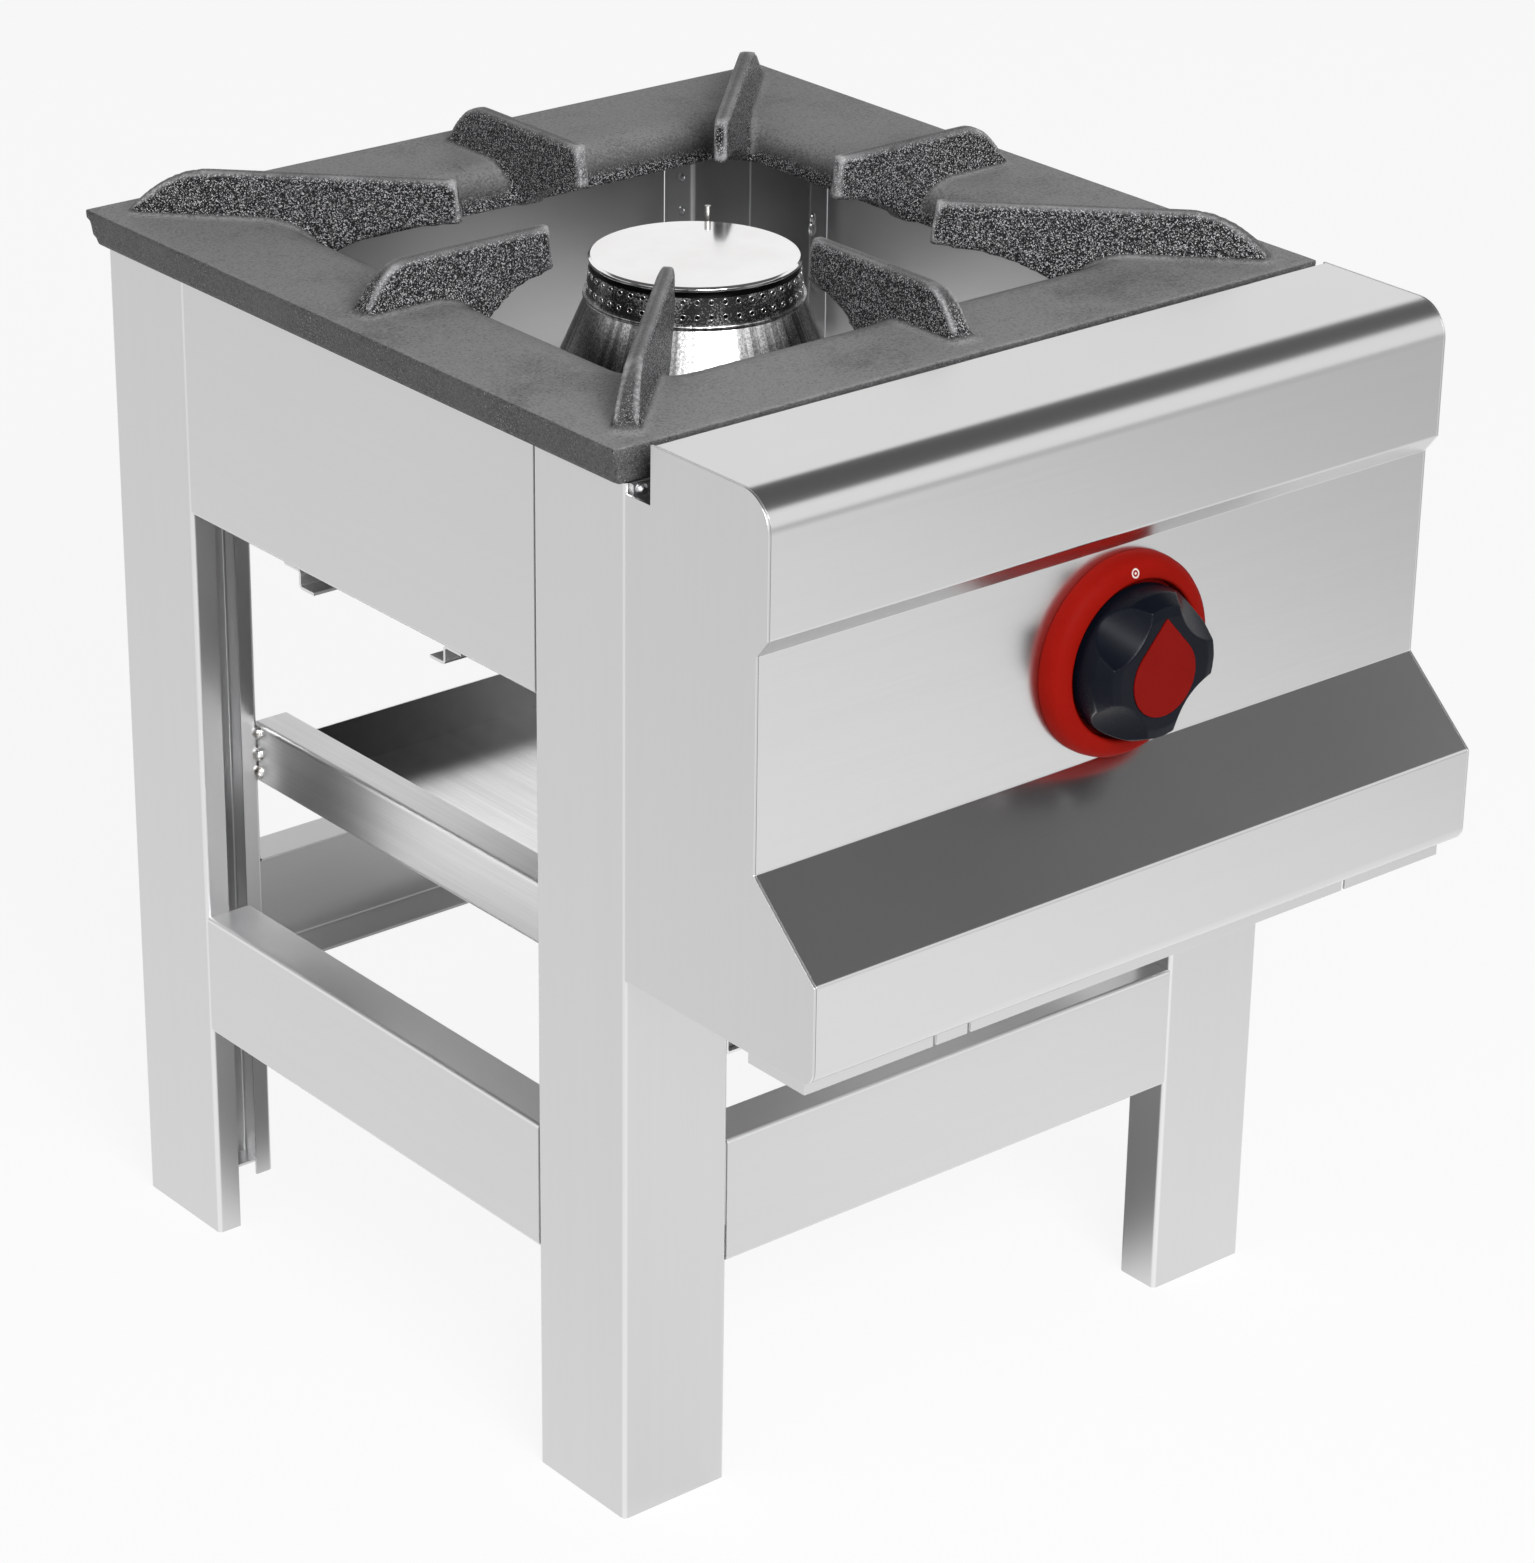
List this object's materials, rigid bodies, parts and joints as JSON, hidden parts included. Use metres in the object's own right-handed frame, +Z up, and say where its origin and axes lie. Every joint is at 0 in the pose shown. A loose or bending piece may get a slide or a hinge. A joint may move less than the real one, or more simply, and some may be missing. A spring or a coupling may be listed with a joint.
{
  "type": "stock pot range",
  "caption": "Low free-standing gas stock pot range: a cast iron pan support over one round burner, on a folded steel stand with a drip tray and a front panel with a red-ringed knob.",
  "frame": {"origin": "on the floor, under the middle of the box around the whole range", "axes": "+X to the user's right along the control panel, +Y from the control panel towards the rear, +Z up"},
  "size_m": [0.418, 0.556, 0.5563],
  "materials": {
    "brushed_sheet": "fine brushed stainless steel",
    "plain_sheet": "dull mill-finish stainless steel",
    "polished_steel": "mirror polished",
    "grey_iron": "rough cast, dark grey, worn on the flat band",
    "base_casting": "rough cast",
    "yellow_brass": "turned, satin",
    "zinc_plate": "zinc plated, satin",
    "pipe_metal": "drawn tube, satin",
    "red_plastic": "smooth moulded, satin gloss",
    "black_plastic": "smooth moulded, glossy"
  },
  "bodies": {
    "stand": {"leg_front_left": "brushed_sheet", "leg_front_right": "brushed_sheet", "leg_rear_left": "brushed_sheet", "leg_rear_right": "brushed_sheet", "apron_left": "brushed_sheet", "apron_right": "brushed_sheet", "apron_rear": "brushed_sheet", "front_rail": "plain_sheet", "stretcher_left": "brushed_sheet", "stretcher_right": "brushed_sheet", "stretcher_front": "brushed_sheet", "stretcher_rear": "brushed_sheet", "tray_runner_left": "plain_sheet", "tray_runner_right": "plain_sheet", "runner_welds": "plain_sheet", "control_panel": "brushed_sheet", "panel_cheek_left": "brushed_sheet", "panel_cheek_right": "brushed_sheet", "panel_bottom_cover": "brushed_sheet", "panel_hangers": "plain_sheet", "panel_screws": "zinc_plate", "burner_rail_front": "plain_sheet", "burner_rail_rear": "plain_sheet", "burner_base": "base_casting", "base_screws": "zinc_plate", "burner_cone": "polished_steel", "flame_ring": "polished_steel", "air_shutter": "zinc_plate", "injector": "yellow_brass", "burner_pipe": "pipe_metal", "pipe_nuts": "yellow_brass", "flame_probe": "pipe_metal", "probe_bracket": "plain_sheet", "gas_valve": "yellow_brass", "valve_bonnet": "yellow_brass", "valve_screws": "zinc_plate", "knob_bezel": "red_plastic", "supply_pipe": "zinc_plate", "pipe_locknut": "zinc_plate", "gas_inlet": "yellow_brass"},
    "valve_rotor": {"valve_plug": "yellow_brass"},
    "knob": {"control_knob": "black_plastic", "knob_insert": "red_plastic", "valve_stem": "zinc_plate", "stem_spring": "zinc_plate"},
    "tray": {"drip_tray": "plain_sheet"},
    "grid": {"pan_support": "grey_iron"},
    "cap": {"burner_cap": "polished_steel"}
  },
  "joints": [
    {"name": "knob_turn", "type": "hinge", "parent": "stand", "child": "valve_rotor", "pos_m": [0.008, -0.237, 0.4148], "axis": [0, -1, 0], "range_deg": [0, 180]},
    {"name": "knob_push", "type": "slide", "parent": "valve_rotor", "child": "knob", "axis": [0, 1, 0], "range_m": [0, 0.004], "stiffness_N_per_m": 1500, "springref_m": -0.004, "deforming": ["stem_spring"]},
    {"name": "tray_slide", "type": "slide", "parent": "stand", "child": "tray", "axis": [0, -1, 0], "range_m": [0, 0.3]},
    {"name": "grid_lift", "type": "slide", "parent": "stand", "child": "grid", "axis": [0, 0, 1], "range_m": [0, 0.12]},
    {"name": "cap_lift", "type": "slide", "parent": "stand", "child": "cap", "axis": [0, 0, 1], "range_m": [0, 0.08]}
  ]
}
